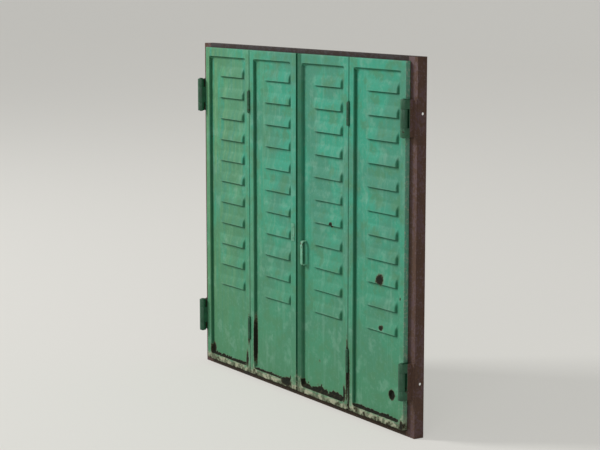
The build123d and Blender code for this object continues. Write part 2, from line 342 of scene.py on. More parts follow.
@dataclass(frozen=True)
class LeafEnamel:
    """Oil-based enamel brushed over pressed mild steel, decades in the sun.

    It gives the eye a chalky mid green, patchy from repainting, with rust where sheet edges hold water.
    """

    name: str = "weathered_green_enamel"
    paint: str = "#41846C"
    teal: str = "#359277"
    warm: str = "#5B8C5D"
    low: str = "#487D59"
    chalk: str = "#7BA48E"
    # Painted shade: the dark green laid on the recess's slopes, under the lips, at the hoods' ends and in
    # the middle gap.
    soot: str = "#034D2F"
    lime: str = "#A9A58D"
    mud: str = "#5B5846"
    primer: str = "#9AA48F"
    rust_dark: str = "#15180E"
    rust_brown: str = "#332F20"
    stain: str = "#57664B"
    patch_size: float = 150.0
    streak_size: tuple[float, float, float] = (16.0, 60.0, 240.0)
    blotch_size: float = 38.0
    crust_size: float = 24.0
    mottle_size: float = 9.0
    chip_size: float = 7.0
    # Brush marks and pits are under half a millimetre deep and wide. They are drawn coarser to show.
    grain_size: float = 2.2
    relief: float = 0.5
    # The green warms towards the left and dulls towards the foot, from the first place to the second.
    warm_span: tuple[float, float] = (-100.0, -550.0)
    low_span: tuple[float, float] = (420.0, -150.0)
    low_wander: float = 350.0
    roughness: float = 0.66
    rotten_roughness: float = 0.96
    ior: float = 1.5
    # Chalked paint and the rust's scale are porous and have little shine.
    shine: float = 0.22

    def material(self) -> bpy.types.Material:
        """Build the material.

        Returns:
            The enamel, which reads the sheet's wear attributes.
        """
        material, node = blank_material(self.name)
        place = node("ShaderNodeTexCoord").outputs["Object"]
        axes = node("ShaderNodeSeparateXYZ", {0: place}).outputs
        edge, dirt, rust, soot = (
            node("ShaderNodeAttribute", attribute_name=wear_and_shade.value).outputs["Fac"] for wear_and_shade in WearAndShade
        )
        stretch = {0: place, 1: [per_metre(size) for size in self.streak_size]}
        long_way = node("ShaderNodeVectorMath", stretch, operation="MULTIPLY").outputs[0]
        patches, streaks, blotches, crusts, mottle, chips, grain = (
            node(
                "ShaderNodeTexNoise",
                {"Vector": vector, "Scale": scale, "Detail": detail, "Roughness": rough},
            ).outputs["Fac"]
            for vector, scale, detail, rough in (
                (place, per_metre(self.patch_size), 3.0, 0.5),
                (long_way, 1.0, 4.0, 0.6),
                (place, per_metre(self.blotch_size), 3.0, 0.55),
                (place, per_metre(self.crust_size), 4.0, 0.6),
                (place, per_metre(self.mottle_size), 5.0, 0.6),
                (place, per_metre(self.chip_size), 4.0, 0.62),
                (place, per_metre(self.grain_size), 3.0, 0.6),
            )
        )
        warm_from, warm_to = (x * MM for x in self.warm_span)
        low_from, low_to = (z * MM for z in self.low_span)
        across = {"Value": axes["X"], "From Min": warm_from, "From Max": warm_to}
        leftward = node("ShaderNodeMapRange", across).outputs["Result"]
        dulled, shade_share, worn = (
            node("ShaderNodeMath", {0: value, 1: factor, 2: added}, operation="MULTIPLY_ADD").outputs[0]
            for value, factor, added in (
                (patches, -self.low_wander * MM, axes["Z"]),
                (mottle, 0.5, 0.75),
                (edge, 0.4, chips),
            )
        )
        caked = fray(node, dirt, mottle, 0.9)
        rot = fray(node, rust, chips, 1.1)
        crust = lay_coats(node, self.lime, [Coat(self.mud, crusts, 0.45, 0.58)])
        coats = (
            Coat(self.teal, patches, 0.44, 0.58),
            Coat(self.warm, streaks, 0.3, 0.62, leftward),
            Coat(self.low, dulled, low_from, low_to, 0.85, Fade.EVEN),
            Coat(self.chalk, streaks, 0.52, 0.72, 0.24),
            Coat(self.low, blotches, 0.5, 0.34, 0.6),
            Coat(self.chalk, blotches, 0.55, 0.7, 0.3),
            Coat(self.chalk, mottle, 0.52, 0.75, 0.24),
            Coat(self.low, mottle, 0.5, 0.3, 0.3),
            Coat(self.chalk, edge, share=0.4, fade=Fade.EVEN),
            # Painted shade: dark green where the leaf marks shade, a little uneven in strength.
            Coat(self.soot, soot, share=shade_share, fade=Fade.EVEN),
            Coat(crust, caked, 0.3, 0.9, 0.85),
            Coat(self.primer, worn, 0.84, 0.94, 0.6),
            Coat(self.rust_brown, worn, 0.99, 1.05),
            Coat(self.stain, rot, 0.12, 0.42, 0.7),
            Coat(self.rust_brown, rot, 0.34, 0.56),
            Coat(self.rust_dark, rot, 0.55, 0.85),
        )
        colour = lay_coats(node, self.paint, coats)

        span = {"Value": rot, "From Min": 0.3, "From Max": 0.6}
        rotten = node("ShaderNodeMapRange", span, interpolation_type=Fade.SMOOTH.value).outputs["Result"]
        brushed = node("ShaderNodeMath", {0: mottle, 1: 0.6}, operation="MULTIPLY").outputs[0]
        pitting, dull = (
            node("ShaderNodeMath", {0: rotten, 1: added, 2: sound}, operation="MULTIPLY_ADD").outputs[0]
            for added, sound in ((2.0, 0.4), (self.rotten_roughness - self.roughness, self.roughness))
        )
        pitted = {0: grain, 1: pitting, 2: brushed}
        height = node("ShaderNodeMath", pitted, operation="MULTIPLY_ADD").outputs[0]
        bump = node("ShaderNodeBump", {"Height": height, "Strength": 0.35, "Distance": self.relief * MM})
        look = {"Base Color": colour, "Roughness": dull, "Normal": bump.outputs["Normal"]}
        look |= {"IOR": self.ior, "Specular IOR Level": self.shine}
        shader = node("ShaderNodeBsdfPrincipled", look)
        node("ShaderNodeOutputMaterial", {"Surface": shader.outputs[0]})
        return material


@dataclass(frozen=True)
class PaintedSteel:
    """Brushed paint on hot-rolled steel, chipped and rusting through.

    It gives the eye a dark, slightly glossy coat that breaks to brown along the corners.
    """

    name: str
    paint: str
    faded: str
    rust: str
    rust_dark: str
    rust_share: float
    roughness: float = 0.5
    edge_share: float = 0.13
    patch_size: float = 40.0
    chip_size: float = 6.0
    # Rolling scale is finer than this. It is drawn coarser to show.
    grain_size: float = 1.8
    relief: float = 0.4
    ior: float = 1.5

    def material(self) -> bpy.types.Material:
        """Build the material.

        Returns:
            Paint that noise breaks up into faded patches and rust.
        """
        material, node = blank_material(self.name)
        place = node("ShaderNodeTexCoord").outputs["Object"]
        patches, chips, grain = (
            node(
                "ShaderNodeTexNoise",
                {"Vector": place, "Scale": per_metre(size), "Detail": detail, "Roughness": 0.6},
            ).outputs["Fac"]
            for size, detail in ((self.patch_size, 4.0), (self.chip_size, 5.0), (self.grain_size, 3.0))
        )
        edges = node("ShaderNodeAttribute", attribute_name=WearAndShade.EDGE.value).outputs["Fac"]
        spots = node("ShaderNodeMath", {0: chips, 1: patches}, operation="ADD").outputs[0]
        weak = {0: edges, 1: self.edge_share, 2: spots}
        worn = node("ShaderNodeMath", weak, operation="MULTIPLY_ADD").outputs[0]
        # Both noises together have a mean of 1. The paint breaks above this, which is lower for more rust.
        breaking = 1.28 - 0.5 * self.rust_share
        span = {"Value": worn, "From Min": breaking, "From Max": breaking + 0.07}
        broken = node("ShaderNodeMapRange", span, interpolation_type=Fade.SMOOTH.value).outputs["Result"]
        rust = lay_coats(node, self.rust_dark, [Coat(self.rust, chips, fade=Fade.EVEN)])
        coats = (Coat(self.faded, patches, 0.4, 0.66, fade=Fade.EVEN), Coat(rust, broken, fade=Fade.EVEN))
        colour = lay_coats(node, self.paint, coats)
        height, dull = (
            node("ShaderNodeMath", {0: broken, 1: factor, 2: sound}, operation="MULTIPLY_ADD").outputs[0]
            for factor, sound in ((grain, chips), (0.4, self.roughness))
        )
        bump = node("ShaderNodeBump", {"Height": height, "Strength": 0.4, "Distance": self.relief * MM})
        look = {"Base Color": colour, "Roughness": dull, "IOR": self.ior, "Normal": bump.outputs["Normal"]}
        shader = node("ShaderNodeBsdfPrincipled", look)
        node("ShaderNodeOutputMaterial", {"Surface": shader.outputs[0]})
        return material


@dataclass(frozen=True)
class DrawnSteel:
    """Bright drawn mild steel that has dulled in damp air.

    It gives the eye a grey metal with soft highlights and brown freckles.
    """

    name: str = "dull_drawn_steel"
    metal: str = "#A3A19B"
    freckle: str = "#6B4E3A"
    roughness: float = 0.42
    freckle_size: float = 5.0
    relief: float = 0.2

    def material(self) -> bpy.types.Material:
        """Build the material.

        Returns:
            Metal with freckles of rust, which aren't metallic.
        """
        material, node = blank_material(self.name)
        place = node("ShaderNodeTexCoord").outputs["Object"]
        scale = {"Vector": place, "Scale": per_metre(self.freckle_size), "Detail": 5.0, "Roughness": 0.65}
        noise = node("ShaderNodeTexNoise", scale).outputs["Fac"]
        span = {"Value": noise, "From Min": 0.56, "From Max": 0.66}
        spots = node("ShaderNodeMapRange", span, interpolation_type=Fade.SMOOTH.value).outputs["Result"]
        colour = lay_coats(node, self.metal, [Coat(self.freckle, spots, fade=Fade.EVEN)])
        bare = node("ShaderNodeMath", {0: 1.0, 1: spots}, operation="SUBTRACT").outputs[0]
        rougher = {0: spots, 1: 0.4, 2: self.roughness}
        dull = node("ShaderNodeMath", rougher, operation="MULTIPLY_ADD").outputs[0]
        bump = node("ShaderNodeBump", {"Height": noise, "Strength": 0.25, "Distance": self.relief * MM})
        look = {"Base Color": colour, "Roughness": dull, "Metallic": bare, "Normal": bump.outputs["Normal"]}
        shader = node("ShaderNodeBsdfPrincipled", look)
        node("ShaderNodeOutputMaterial", {"Surface": shader.outputs[0]})
        return material


class Coating(Enum):
    """What the steel pieces are finished with."""

    # Alkyd gloss, put on last: dark knuckles beside the pale leaves.
    HINGE = PaintedSteel(
        "dark_green_hinge_enamel", "#0F4229", "#1B5638", "#3D2D20", "#1C150F", 0.08, edge_share=0.06
    )
    # The leaves' enamel, polished by hands and painted paler as a painted highlight: a light stroke that
    # catches the eye.
    FITTING = PaintedSteel("pale_fitting_enamel_painted_highlight", "#5A9A7B", "#7DB699", "#5F4633", "#2E2219", 0.2)
    # The same enamel, chalked: a soft pale patch on the stile.
    PLATE = PaintedSteel("chalky_green_plate_enamel", "#4A8B6D", "#639F83", "#5F4633", "#2E2219", 0.2)
    # Red oxide primer on hot-rolled angle: a matt, dull red border.
    PRIMER = PaintedSteel("red_oxide_primer", "#4E3738", "#5E4A49", "#5F4434", "#33241F", 0.5, 0.75)
    # The same primer, painted near black as shade: a thin dark line above the leaves.
    HEAD = PaintedSteel("painted_shade_head_primer", "#2A2123", "#3A3031", "#3F3029", "#1E1716", 0.5, 0.8)
    # Angle steel that has rusted through its paint: a dark, crumbling edge below the leaves.
    SILL = PaintedSteel("rusty_sill_steel", "#29261D", "#3A3528", "#4C3A29", "#14120C", 0.7, 0.9)
    # Drawn bars and plates of the bolts, never painted: dull grey metal.
    BARE = DrawnSteel()


# Pressed leaves


@dataclass(frozen=True)
class Blemish:
    """A rusted or bruised place of a leaf, given where the photo shows it."""

    x: float
    z: float
    reach_x: float
    reach_z: float
    strength: float


@dataclass
class PressedLeaf:
    """One leaf: a single sheet with a recessed field, louvre hoods, flanges and return lips."""

    node: str
    seed: int
    left_stile: float = 22.0
    right_stile: float = 22.0
    top_margin: float = 27.0
    bottom_margin: float = 20.0
    depth: float = 15.0
    recess: float = 9.0
    corner: float = 12.0
    slope_run: float = 3.8
    slope_lead: float = 1.2
    sheet: float = 1.2
    bend: float = 1.6
    lip: float = 20.0
    louvre_count: int = 11
    louvre_pitch: float = 65.8
    louvre_length: float = 155.0
    louvre_height: float = 30.0
    louvre_rise: float = 7.5
    louvre_shift: float = 15.0
    louvre_drop: float = 87.0
    louvre_round: float = 2.4
    louvre_run_out: float = 4.5
    louvre_sink: float = 0.12
    fold_x: float = 272.0
    fold_levels: tuple[float, float] = (860.0, 160.0)
    notch_half: float = 35.5
    notch_lift: float = 1.0
    notch_radius: float = 6.05
    pivot_depth: float = 2.0
    smooth_angle: float = 48.0
    # Grid lines stand closer where the sheet bends: steps from a slope, a hood's end, a lip and the rim.
    slope_steps: tuple[float, ...] = (-2.4, -1.2, -0.6, 0, 0.6, 1.2, 1.8, 2.5, 3.4, 5, 7, 9, 11.5, 14.5)
    end_steps: tuple[float, ...] = (0, 1.5, 3, 4.5, 6, 7.5, 9.5, 12)
    hood_steps: tuple[float, ...] = (0.8, 2, 3.6, 5.6, 8, 11, 14.5, 18.5, 22, 25, 27.5, 29.5, 31.5, 34)
    rim_steps: tuple[float, ...] = (3.2, 5.2)
    hem_steps: tuple[float, ...] = (3.2, 6, 11)
    top_steps: tuple[float, ...] = (3.2, 6, 12)
    stile_step: float = 5.0
    column_step: float = 6.5
    row_step: float = 7.5
    hole_step: float = 1.6
    flange_step: float = 2.4
    lip_step: float = 4.0
    line_gap: float = 0.65
    # Wear, as the photo shows it
    wave: float = 0.7
    wave_size: float = 160.0
    dent_size: float = 48.0
    damp_reach: float = 110.0
    blot_size: float = 55.0
    patch_size: float = 32.0
    ragged_size: float = 15.0
    foot_height: float = 17.0
    ledge: float = 5.0
    # The next three set how much shade is painted: on the recess's left slope, the left stile and the right
    # flange.
    painted_shade_slope: float = 0.95
    painted_shade_stile: float = 0.0
    painted_shade_flange: float = 0.0
    faded_flange: float = 0.0
    blemishes: tuple[Blemish, ...] = ()
    hole: Blemish | None = None
    hole_grid: float = 16.0
    hole_shift: float = 8.4
    hole_radius: float = 3.6
    crater: float = 5.5
    crater_radius: float = 13.0

    def __post_init__(self) -> None:
        """Read the leaf's place from its CAD node and draw the louvres' unequal lips."""
        low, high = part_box(self.node)
        self.left, self.right = low.x / MM, high.x / MM
        self.bottom, self.top = low.z / MM, high.z / MM
        self.front = high.y / MM - self.depth
        self.middle = (self.left + self.right) / 2
        self.mouth_left = self.left + self.left_stile
        self.mouth_right = self.right - self.right_stile
        self.mouth_bottom = self.bottom + self.bottom_margin
        self.mouth_top = self.top - self.top_margin
        self.fold_x *= -1 if "left" in self.node else 1
        self.notches = [
            (level + self.notch_lift - self.notch_half, level + self.notch_lift + self.notch_half)
            for level in self.fold_levels
        ]
        self.lips = [self.top - self.louvre_drop - i * self.louvre_pitch for i in range(self.louvre_count)]
        rng = random.Random(self.seed)
        self.lip_rise = [self.louvre_rise * rng.uniform(0.8, 1.0) for _ in self.lips]
        self.lip_tilt = [rng.uniform(-1.2, 0.9) for _ in self.lips]
        self.lip_trim = [rng.uniform(0.0, 7.0) for _ in self.lips]

    def slope_lines(self, mouth: float, inward: int) -> list[float]:
        """Grid lines over one slope of the recess and its rounded corners."""
        return [mouth + inward * step for step in self.slope_steps]

    def hole_lines(self, middle: float) -> list[float]:
        """Fine grid lines over the rusted hole."""
        return spread(middle - self.hole_grid, middle + self.hole_grid, self.hole_step)

    def columns(self) -> list[float]:
        """Lay grid lines across the front sheet.

        Returns:
            Distances to the right, in order.
        """
        half = self.louvre_length / 2
        centre = self.middle + self.louvre_shift
        groups = [
            [self.left + self.bend, self.right - self.bend],
            self.slope_lines(self.mouth_left, 1) + self.slope_lines(self.mouth_right, -1),
            self.hole_lines(self.hole.x) if self.hole else [],
            [centre + side * (half - step) for side in (-1, 1) for step in self.end_steps],
            [self.left + step for step in self.rim_steps] + [self.right - step for step in self.rim_steps],
            spread(self.left + 10, self.mouth_left - 5, self.stile_step),
            spread(self.mouth_right + 5, self.right - 10, self.stile_step),
            spread(self.mouth_left + 18, self.mouth_right - 18, self.column_step),
        ]
        return merge_lines(groups, self.line_gap)

    def rows(self) -> list[tuple[float, bool]]:
        """Lay grid lines up the front sheet.

        Returns:
            Heights, each with whether it belongs to the sheet above a louvre's slit.
        """
        groups = [
            [self.bottom + self.bend, self.top - self.bend],
            self.lips,
            self.hole_lines(self.hole.z) if self.hole else [],
            [lip + step for lip in self.lips for step in self.hood_steps],
            self.slope_lines(self.mouth_bottom, 1) + self.slope_lines(self.mouth_top, -1),
            [lip + step for lip in self.lips for step in (-1.5, -4)],
            [end + step for notch in self.notches for end in notch for step in (-0.35, 0.35)],
            [self.bottom + step for step in self.hem_steps] + [self.top - step for step in self.top_steps],
            spread(self.bottom + 16, self.top - 20, self.row_step),
        ]
        rows = []
        for z in merge_lines(groups, self.line_gap):
            if any(abs(z - lip) < TINY for lip in self.lips):
                rows.append((z, False))
            rows.append((z, True))
        return rows

    def inside(self, x: np.ndarray, z: np.ndarray) -> np.ndarray:
        """Measure how far points lie inside the rounded mouth of the field.

        Args:
            x: Distances to the right.
            z: Heights.

        Returns:
            Distances from the mouth's edge, negative on the stiles and margins.
        """
        half_x = (self.mouth_right - self.mouth_left) / 2 - self.corner
        half_z = (self.mouth_top - self.mouth_bottom) / 2 - self.corner
        over_x = np.abs(x - (self.mouth_left + self.mouth_right) / 2) - half_x
        over_z = np.abs(z - (self.mouth_top + self.mouth_bottom) / 2) - half_z
        outside = np.hypot(np.maximum(over_x, 0), np.maximum(over_z, 0))
        return self.corner - outside - np.minimum(np.maximum(over_x, over_z), 0)

    def past_lip(self, z: np.ndarray, way: int) -> np.ndarray:
        """Distance above (way 1) or below (way -1) the nearest louvre's lip."""
        ways = [way * (z - lip) for lip in self.lips]
        return np.min([np.where(distance >= -TINY, distance, FAR) for distance in ways], axis=0)

    def hood(self, x: np.ndarray, z: np.ndarray, above: np.ndarray) -> np.ndarray:
        """Work out how far the louvre hoods stand out of the field.

        Args:
            x: Distances to the right.
            z: Heights.
            above: Whether each point is on the sheet above a slit.

        Returns:
            Outward heights, zero away from the hoods.
        """
        total = np.zeros_like(x)
        across = x - self.middle - self.louvre_shift
        for lip, rise, tilt, trim in zip(self.lips, self.lip_rise, self.lip_tilt, self.lip_trim):
            end = self.louvre_length / 2 - np.abs(across) - trim * (across < 0)
            up = z - lip
            radius = (rise**2 + self.louvre_height**2) / (2 * rise)
            arc = rise - radius + np.sqrt(np.maximum(radius**2 - up**2, 0))
            arc += tilt * (x - self.middle) / self.louvre_length * ease(1 - up / self.louvre_height)
            form = smooth_min(arc, end * 1.05, self.louvre_round)
            form = -smooth_min(-form, np.zeros_like(form), 1.0)
            reach = (up > -TINY) & (up < self.louvre_height + self.louvre_run_out) & above
            total = np.where(reach & (form > self.louvre_sink), form - self.louvre_sink, total)
        return total

    def dents(self, x: np.ndarray, z: np.ndarray) -> np.ndarray:
        """Work out the sheet's waviness from pressing, knocks and paint.

        Args:
            x: Distances to the right.
            z: Heights.

        Returns:
            Inward depths.
        """
        broad = Ripple(self.seed, self.wave_size).at(x, z)
        local = Ripple(self.seed + 50, self.dent_size).at(x, z)
        waves = self.wave * (0.75 + 0.6 * broad + 0.25 * local) * ease((self.inside(x, z) + 20) / 40)
        if self.hole:
            away = np.hypot(x - self.hole.x, z - self.hole.z)
            waves = waves + self.crater * ease((self.crater_radius - away) / 4.0)
        return waves

    def spots(self, x: np.ndarray, z: np.ndarray) -> np.ndarray:
        """Work out the rust that the leaf's blemishes bring.

        Args:
            x: Distances to the right.
            z: Heights.

        Returns:
            Amounts, 0 where the sheet is sound.
        """
        total = np.zeros_like(x)
        for mark in self.blemishes + ((self.hole,) if self.hole else ()):
            away = ((x - mark.x) / mark.reach_x) ** 2 + ((z - mark.z) / mark.reach_z) ** 2
            total = np.maximum(total, mark.strength * hump(away, 1.0))
        return total

    def wear_and_shade(
        self, x: np.ndarray, z: np.ndarray, hood: np.ndarray, out: np.ndarray
    ) -> dict[WearAndShade, np.ndarray]:
        """Work out where the sheet is worn, dirty and rusty, and where shade is painted.

        Args:
            x: Distances to the right.
            z: Heights.
            hood: Outward heights of the hoods.
            out: How far round the flange each point lies, from 0 on the front to 1 on the lip.

        Returns:
            Amounts from 0 to 1 for each kind of wear.
        """
        rim = np.minimum.reduce([x - self.left, self.right - x, z - self.bottom, self.top - z])
        inside = self.inside(x, z)
        raised = np.maximum(z - self.bottom, 0)
        low = fade_out(raised, self.damp_reach)
        blot = 0.5 + 0.5 * Ripple(self.seed + 9, self.blot_size).at(x, z)
        ragged = 0.5 + 0.5 * Ripple(self.seed + 21, self.ragged_size).at(x, z)
        patch = ease((Ripple(self.seed + 33, self.patch_size).at(x, z) - 0.1) / 0.5)

        # Paint is thin on the rims, the recess's edge and the lips, and thinnest near the foot.
        edge = fade_out(rim, 2.5) * (1 - out) + 0.6 * fade_out(inside + 1.5, 1.8)
        edge = np.maximum(edge, np.where(hood > 1.5, fade_out(self.past_lip(z, 1), 2.0), 0))
        edge = edge * (0.45 + 0.75 * low)
        edge = np.maximum(edge, self.faded_flange * (out > 0) * (x > self.right - self.bend))

        # Splashes dry as a pale crust on the bottom margin, the feet of the stiles and along the rims.
        foot = ease((self.foot_height + 7 * blot - (z - self.bottom)) / 9)
        side_foot = ease(-inside / 2) * fade_out(raised, 35 + 50 * blot)
        outline = np.maximum(fade_out(inside + 3.0, 2.4), fade_out(rim, 3.0)) * low * (1 - out)
        dirt = np.maximum.reduce([0.95 * foot, 0.8 * side_foot, 0.4 * blot * low, 0.95 * outline])

        # Water stands on the recess's floor, which rusts through, and hangs at the lower hem.
        floor = z - self.mouth_bottom
        thick = self.ledge * np.maximum(0.35, 0.45 + 0.45 * blot + 0.55 * ragged)
        ledge = ease((thick - floor) / 3.0) * ease((floor + 2.5) / 2) * (inside > -2.5)
        hem = fade_out(raised, 2.0 + 3.0 * ragged) * (0.6 + 0.5 * blot)
        rust = np.maximum.reduce([
            ledge * (0.72 + 0.3 * ragged),
            self.spots(x, z),
            hem,
            (0.1 + 0.38 * patch) * foot,
            0.3 * patch * side_foot,
            0.4 * blot * out * low,
        ])
        amounts = {WearAndShade.EDGE: edge, WearAndShade.DIRT: dirt, WearAndShade.RUST: rust, WearAndShade.SOOT: self.soot(x, z, hood)}
        return {kind: np.clip(values, 0, 1) for kind, values in amounts.items()}

    def soot(self, x: np.ndarray, z: np.ndarray, hood: np.ndarray) -> np.ndarray:
        """Work out the painted shade: on the recess's slopes and top, under lips, at hoods' ends, on a
        stile and a flange.

        Args:
            x: Distances to the right.
            z: Heights.
            hood: Outward heights of the hoods.

        Returns:
            Amounts from 0 to 1.
        """
        foot_of_slope, width = 1.4, 2.1
        height = (z > self.mouth_bottom + 1) & (z < self.mouth_top - 1)
        across = (x > self.mouth_left) & (x < self.mouth_right)
        left = self.painted_shade_slope * hump(x - self.mouth_left - foot_of_slope, width) * height
        right = 0.35 * hump(self.mouth_right - x - foot_of_slope, width) * height
        above = 0.7 * hump(self.mouth_top - z - foot_of_slope, 2.0) * across
        end = self.louvre_length / 2 - (x - self.middle - self.louvre_shift)
        start = self.louvre_length - end
        under = 0.85 * hump(self.past_lip(z, -1), 5.0) * (hood < 0.05)
        shade = under * ease((end + 2) / 4) * ease((start - 4) / 20)
        tip = 0.85 * hump(end - 2.5, 3.6) * ease((26 - self.past_lip(z, 1)) / 12)
        stile = self.painted_shade_stile * ease((self.mouth_left + 1 - x) / 3)
        flange = self.painted_shade_flange * ease((x - self.right + self.bend) / self.bend)
        return np.maximum.reduce([left, right, above, shade, tip, stile, flange])

    def clear_notches(self, points: np.ndarray) -> None:
        """Push the sheet out of the round notches that clear the fold hinges' barrels.

        Args:
            points: The sheet's points, which are changed.
        """
        x, y, z = points.T
        pivot_y = self.front - self.pivot_depth
        away_x, away_y = x - self.fold_x, y - pivot_y
        distance = np.maximum(np.hypot(away_x, away_y), TINY)
        in_span = np.any([(z > low) & (z < high) for low, high in self.notches], axis=0)
        grow = np.where(in_span & (distance < self.notch_radius), self.notch_radius / distance, 1)
        points[:, 0] = self.fold_x + away_x * grow
        points[:, 1] = pivot_y + away_y * grow

    def rings(self) -> list[tuple[float, float]]:
        """Step round the flange to the end of the return lip.

        Returns:
            Distances outward and inward in depth.
        """
        quarter = [math.radians(a) for a in (22.5, 45, 67.5, 90)]
        steps = [(self.bend * math.sin(a), self.bend * (1 - math.cos(a))) for a in quarter]
        deep = self.depth - self.bend
        steps += [(self.bend, d) for d in spread(4, deep, self.flange_step)]
        steps += [(self.bend * math.cos(a), deep + self.bend * math.sin(a)) for a in quarter]
        steps += [(-d, self.depth) for d in spread(2, self.lip - self.bend, self.lip_step)]
        return steps

    def front_faces(self, columns: list[float], rows: list[tuple[float, bool]]) -> Faces:
        """Join the grid of the front sheet, without the slits and what has rusted away.

        Args:
            columns: Grid lines across.
            rows: Grid lines up, as rows() gives them.

        Returns:
            The faces.
        """
        faces = []
        width = len(columns)
        for r, ((bottom, _), (top, _)) in enumerate(zip(rows, rows[1:])):
            for c in range(width - 1):
                if top > bottom and not self.is_lost((columns[c] + columns[c + 1]) / 2, (bottom + top) / 2):
                    corner = r * width + c
                    faces.append((corner, corner + 1, corner + width + 1, corner + width))
        return faces

    def is_lost(self, x: float, z: float) -> bool:
        """Tell whether the sheet has rusted away at a place.

        Args:
            x: Distance to the right.
            z: Height.

        Returns:
            True inside the ragged hole.
        """
        if not self.hole:
            return False
        away_x, away_z = x - self.hole.x - self.hole_shift, z - self.hole.z
        turn = math.atan2(away_z, away_x)
        ragged = 1 + 0.16 * math.sin(3 * turn + 1) + 0.1 * math.sin(7 * turn)
        return math.hypot(away_x, away_z) < self.hole_radius * ragged

    def edge_loop(self, rows: int, columns: int) -> np.ndarray:
        """Walk once round the edge of the grid.

        Args:
            rows: How many lines go up.
            columns: How many lines go across.

        Returns:
            The edge points' rows and their columns.
        """
        last_row, last_column = rows - 1, columns - 1
        loop = [(0, c) for c in range(last_column)]
        loop += [(r, last_column) for r in range(last_row)]
        loop += [(last_row, c) for c in range(last_column, 0, -1)]
        loop += [(r, 0) for r in range(last_row, 0, -1)]
        return np.array(loop).T

    def form(self) -> tuple[np.ndarray, Faces, dict[WearAndShade, np.ndarray]]:
        """Press the sheet: the front with its field and hoods, then the flange and the return lip.

        Returns:
            Points, faces, and for each point how worn it is in each way and how much shade is painted on
            it.
        """
        columns, rows = self.columns(), self.rows()
        x, z = np.meshgrid(columns, [height for height, _ in rows])
        above = np.repeat([[is_above] for _, is_above in rows], len(columns), axis=1)
        hood = self.hood(x, z, above)
        hollow = self.recess * ease((self.inside(x, z) + self.slope_lead) / self.slope_run)
        y = self.front + hollow - hood + self.dents(x, z)
        points = [np.stack([x.ravel(), y.ravel(), z.ravel()], axis=1)]
        wear_and_shade = self.wear_and_shade(x, z, hood, np.zeros_like(x))
        amounts = {kind: [values.ravel()] for kind, values in wear_and_shade.items()}
        faces = self.front_faces(columns, rows)

        # The flange grows from the grid's edge, one ring of points after another.
        at_row, at_column = self.edge_loop(*x.shape)
        push_x = (at_column == len(columns) - 1).astype(int) - (at_column == 0)
        push_z = (at_row == len(rows) - 1).astype(int) - (at_row == 0)
        base_x, base_y, base_z = (values[at_row, at_column] for values in (x, y, z))
        inner = at_row * len(columns) + at_column
        rings = self.rings()
        for i, (out, deep) in enumerate(rings):
            share = (i + 1) / len(rings)
            ring_x, ring_z = base_x + push_x * out, base_z + push_z * out
            ring_y = self.front + deep + (base_y - self.front) * (1 - share)
            points.append(np.stack([ring_x, ring_y, ring_z], axis=1))
            ring_wear_and_shade = self.wear_and_shade(ring_x, ring_z, np.zeros_like(ring_x), np.full_like(ring_x, share))
            for kind, values in ring_wear_and_shade.items():
                amounts[kind].append(values)
            outer = x.size + i * inner.size + np.arange(inner.size)
            faces += np.stack([inner, outer, np.roll(outer, -1), np.roll(inner, -1)], axis=1).tolist()
            inner = outer
        cloud = np.concatenate(points)
        self.clear_notches(cloud)
        return cloud, faces, {kind: np.concatenate(parts) for kind, parts in amounts.items()}

    def build(self, finish: bpy.types.Material) -> bpy.types.Object:
        """Build the leaf and put it in place of its node.

        Args:
            finish: The enamel.

        Returns:
            The dressed leaf.
        """
        points, faces, amounts = self.form()
        mesh = bpy.data.meshes.new(self.node + "_sheet")
        mesh.from_pydata((points * MM).tolist(), [], faces)
        for kind, values in amounts.items():
            attribute = mesh.attributes.new(kind.value, "FLOAT", "POINT")
            attribute.data.foreach_set("value", values.astype(np.float32))
        self.tidy_sheet(mesh)
        leaf = new_piece(self.node + "_sheet", mesh, self.node.removesuffix("_leaf"), finish)
        solid = leaf.modifiers.new("sheet", "SOLIDIFY")
        solid.thickness = self.sheet * MM
        solid.offset = -1
        apply_modifiers(leaf)
        leaf.data.shade_smooth()
        leaf.data.set_sharp_from_angle(angle=math.radians(self.smooth_angle))
        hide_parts(self.node)
        return leaf

    def tidy_sheet(self, mesh: bpy.types.Mesh) -> None:
        """Weld doubled points, drop loose ones and turn the faces outward.

        Args:
            mesh: The leaf's sheet, which is changed.
        """
        sheet = bmesh.new()
        sheet.from_mesh(mesh)
        bmesh.ops.remove_doubles(sheet, verts=sheet.verts, dist=0.02 * MM)
        loose = [v for v in sheet.verts if not v.link_faces]
        bmesh.ops.delete(sheet, geom=loose, context="VERTS")
        bmesh.ops.recalc_face_normals(sheet, faces=sheet.faces)
        foremost = min(sheet.faces, key=lambda face: face.calc_center_median().y)
        if foremost.normal.y > 0:
            bmesh.ops.reverse_faces(sheet, faces=sheet.faces)
        sheet.to_mesh(mesh)
        sheet.free()


# Steel pieces


